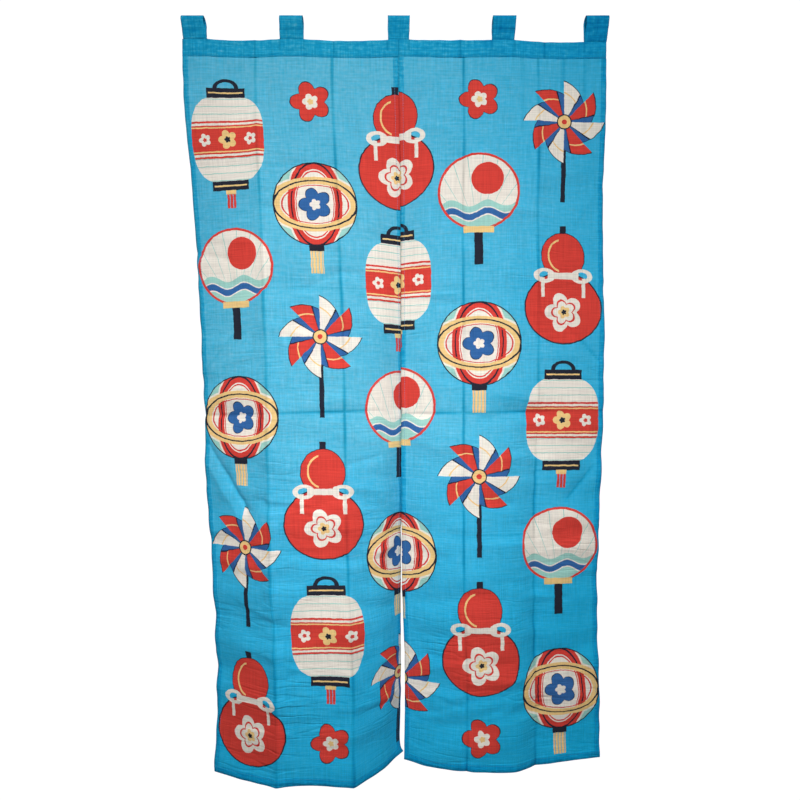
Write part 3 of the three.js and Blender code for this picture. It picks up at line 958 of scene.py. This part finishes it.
bm = bmesh.new()
stitch_row = int(np.argmin(np.abs(heading_below - HEADING_STITCH)))
toward_viewer = np.tile([0, -1, 0], (len(heading_x), 1))
sew(bm, heading_points[stitch_row], toward_viewer, HEADING_THICKNESS / 2)
heading_stitching = sewn_piece("heading_stitching", bm)
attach(heading, "root")
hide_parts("heading")

# The tabs: doubled strips of the same cloth taken round the rod, a little uneven in width and
# lean, with both ends together where they go into the heading.
LOOP_RADIUS = 0.0102
FOOT_HALF = 0.0010
FOOT_RISE = 0.0002
TAB_THICKNESS = 0.0014
LEG_STEPS = 16
ARC_STEPS = 28
TAB_COLUMNS = 16
TAB_CREASE_Z = -0.0178
TAB_CREASES = (0.5, 1.0, 0.2, 0.8, 0.3)
TAB_CREASE_HALF = 0.0016
TAB_CREASE_DEPTH = 0.0006
SWAY = 0.0007
SWAY_LENGTH = 0.016
WAVER = 0.0008
WAVER_LENGTH = 0.02
SEWN_SHARE = 0.05


def loop_path(foot_z):
    """The strip's middle line seen from its end: up the back leg, over the rod, down in front."""
    foot_turn = math.atan2(foot_z, FOOT_HALF)
    tangent = foot_turn + math.acos(LOOP_RADIUS / math.hypot(FOOT_HALF, foot_z))
    turns = np.linspace(tangent, math.pi - tangent, ARC_STEPS + 1)
    arc = np.stack([LOOP_RADIUS * np.cos(turns), LOOP_RADIUS * np.sin(turns)], axis=1)
    leg = np.linspace(0, 1, LEG_STEPS, endpoint=False)[:, None]
    back = np.array([FOOT_HALF, foot_z]) * (1 - leg) + arc[0] * leg
    front = np.array([-FOOT_HALF, foot_z]) * (1 - leg) + arc[-1] * leg
    return np.concatenate([back, arc, front[::-1]])


for number, tab in enumerate(TABS):
    path = loop_path(HEADING_TOP - tab.sag + FOOT_RISE)
    run = np.concatenate([[0], np.cumsum(np.hypot(*np.diff(path, axis=0).T))])
    over = np.linspace(0, 1, TAB_COLUMNS + 1)
    points = np.empty((len(path), len(over), 3))
    pressed = np.zeros((len(path), len(over)))
    for j, (depth, height) in enumerate(path):
        rise = (height - path[0][1]) / (LOOP_RADIUS - path[0][1])
        held = math.sin(math.pi * min(rise, 1))
        sway = SWAY * noise.noise((run[j] / SWAY_LENGTH, number * 2.3, 0.7)) * held
        left = tab.foot[0] + rise * (tab.top[0] - tab.foot[0]) + sway
        right = tab.foot[1] + rise * (tab.top[1] - tab.foot[1]) + sway
        # Painted shade along each tab's crease, where its front leg dips in.
        from_line = (height - TAB_CREASE_Z) / TAB_CREASE_HALF
        line = TAB_CREASES[number] * math.exp(-(from_line**2)) * (depth < 0)
        waver = [noise.noise((x * 0.9, run[j] / WAVER_LENGTH, number * 1.9)) for x in over]
        points[j, :, 0] = left + over * (right - left)
        loose = WAVER * np.array(waver) * (rise > SEWN_SHARE)
        points[j, :, 1] = depth + TAB_CREASE_DEPTH * line + loose
        points[j, :, 2] = height
        pressed[j] = line
    flat = np.empty((len(path), len(over), 2))
    flat[:, :, 0] = tab.foot[0] + over[None, :] * (tab.foot[1] - tab.foot[0])
    flat[:, :, 1] = run[:, None]
    layers = np.full((len(path), len(over)), tab.layers)
    strip = cloth_grid(tab.name + "_strip", points[::-1], flat[::-1], layers, pressed[::-1])
    thicken(strip, TAB_THICKNESS, TAB_THICKNESS)
    strip.data.materials.append(doubled_cloth)
    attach(strip, "root")
    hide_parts(tab.name)
    width = (tab.foot[1] - tab.foot[0] + tab.top[1] - tab.top[0]) / 2

# The studio: a pale floor below the hanging curtain, an even white surround and three soft
# lights: one high in front, a nearer one at half height, and one behind for the back.
FLOOR_Z = -2.05
floor_mesh = bpy.data.meshes.new("studio_floor")
bm = bmesh.new()
bmesh.ops.create_grid(bm, x_segments=1, y_segments=1, size=30)
bmesh.ops.translate(bm, vec=(0, 0, FLOOR_Z), verts=bm.verts)
bm.to_mesh(floor_mesh)
bm.free()
floor = bpy.data.objects.new("studio_floor", floor_mesh)
bpy.context.scene.collection.objects.link(floor)
floor_paint = bpy.data.materials.new("studio_floor")
floor_paint.use_nodes = True
floor_nodes = floor_paint.node_tree
floor_shader = floor_nodes.nodes["Principled BSDF"]
floor_shader.inputs["Base Color"].default_value = (0.9, 0.9, 0.9, 1)
floor_shader.inputs["Roughness"].default_value = 1.0
floor_shader.inputs["Specular IOR Level"].default_value = 0.0
floor_glow = floor_nodes.nodes.new("ShaderNodeEmission")
floor_glow.inputs["Strength"].default_value = 1.05
floor_ray = floor_nodes.nodes.new("ShaderNodeLightPath")
floor_pick = floor_nodes.nodes.new("ShaderNodeMixShader")
floor_nodes.links.new(floor_ray.outputs["Is Camera Ray"], floor_pick.inputs[0])
floor_nodes.links.new(floor_shader.outputs[0], floor_pick.inputs[1])
floor_nodes.links.new(floor_glow.outputs[0], floor_pick.inputs[2])
floor_nodes.links.new(floor_pick.outputs[0], floor_nodes.nodes["Material Output"].inputs["Surface"])
floor_mesh.materials.append(floor_paint)

world = bpy.data.worlds.new("studio_surround")
bpy.context.scene.world = world
world.use_nodes = True
surround = world.node_tree
lit = surround.nodes["Background"]
lit.inputs["Color"].default_value = (1, 1, 1, 1)
lit.inputs["Strength"].default_value = 0.12
seen = surround.nodes.new("ShaderNodeBackground")
seen.inputs["Color"].default_value = (1, 1, 1, 1)
seen.inputs["Strength"].default_value = 1.05
ray = surround.nodes.new("ShaderNodeLightPath")
pick = surround.nodes.new("ShaderNodeMixShader")
surround.links.new(ray.outputs["Is Camera Ray"], pick.inputs[0])
surround.links.new(lit.outputs[0], pick.inputs[1])
surround.links.new(seen.outputs[0], pick.inputs[2])
surround.links.new(pick.outputs[0], surround.nodes["World Output"].inputs["Surface"])


def soft_light(name, place, aim, size, power, spread):
    """A round lamp that shines from its place to its aim."""
    lamp = bpy.data.lights.new(name, "AREA")
    lamp.shape = "DISK"
    lamp.size = size
    lamp.energy = power
    lamp.spread = math.radians(spread)
    stand = bpy.data.objects.new(name, lamp)
    stand.location = place
    stand.rotation_euler = (Vector(aim) - Vector(place)).to_track_quat("-Z", "Y").to_euler()
    bpy.context.scene.collection.objects.link(stand)


soft_light("key_light", (0.10, -2.2, 1.5), (-0.12, 0, -0.68), 0.5, 6.2, 50)
soft_light("fill_light", (-0.04, -1.05, -0.88), (-0.04, 0, -0.88), 0.4, 3.35, 140)
soft_light("back_light", (0.6, 2.4, 0.3), (0, 0, -0.75), 1.8, 30, 180)

scene = bpy.context.scene
scene.view_settings.view_transform = "Standard"
VIEWER_DISTANCE = 1.1026
VIEWER_X = 0.0112
EYE_Z = -0.758
LENS_MM = 24.75
lens = bpy.data.cameras.new("viewer")
lens.lens = LENS_MM
lens.sensor_width = 36
viewer = bpy.data.objects.new("viewer", lens)
viewer.location = (VIEWER_X, -VIEWER_DISTANCE, EYE_Z)
viewer.rotation_euler = (math.pi / 2, 0, 0)
scene.collection.objects.link(viewer)
scene.camera = viewer
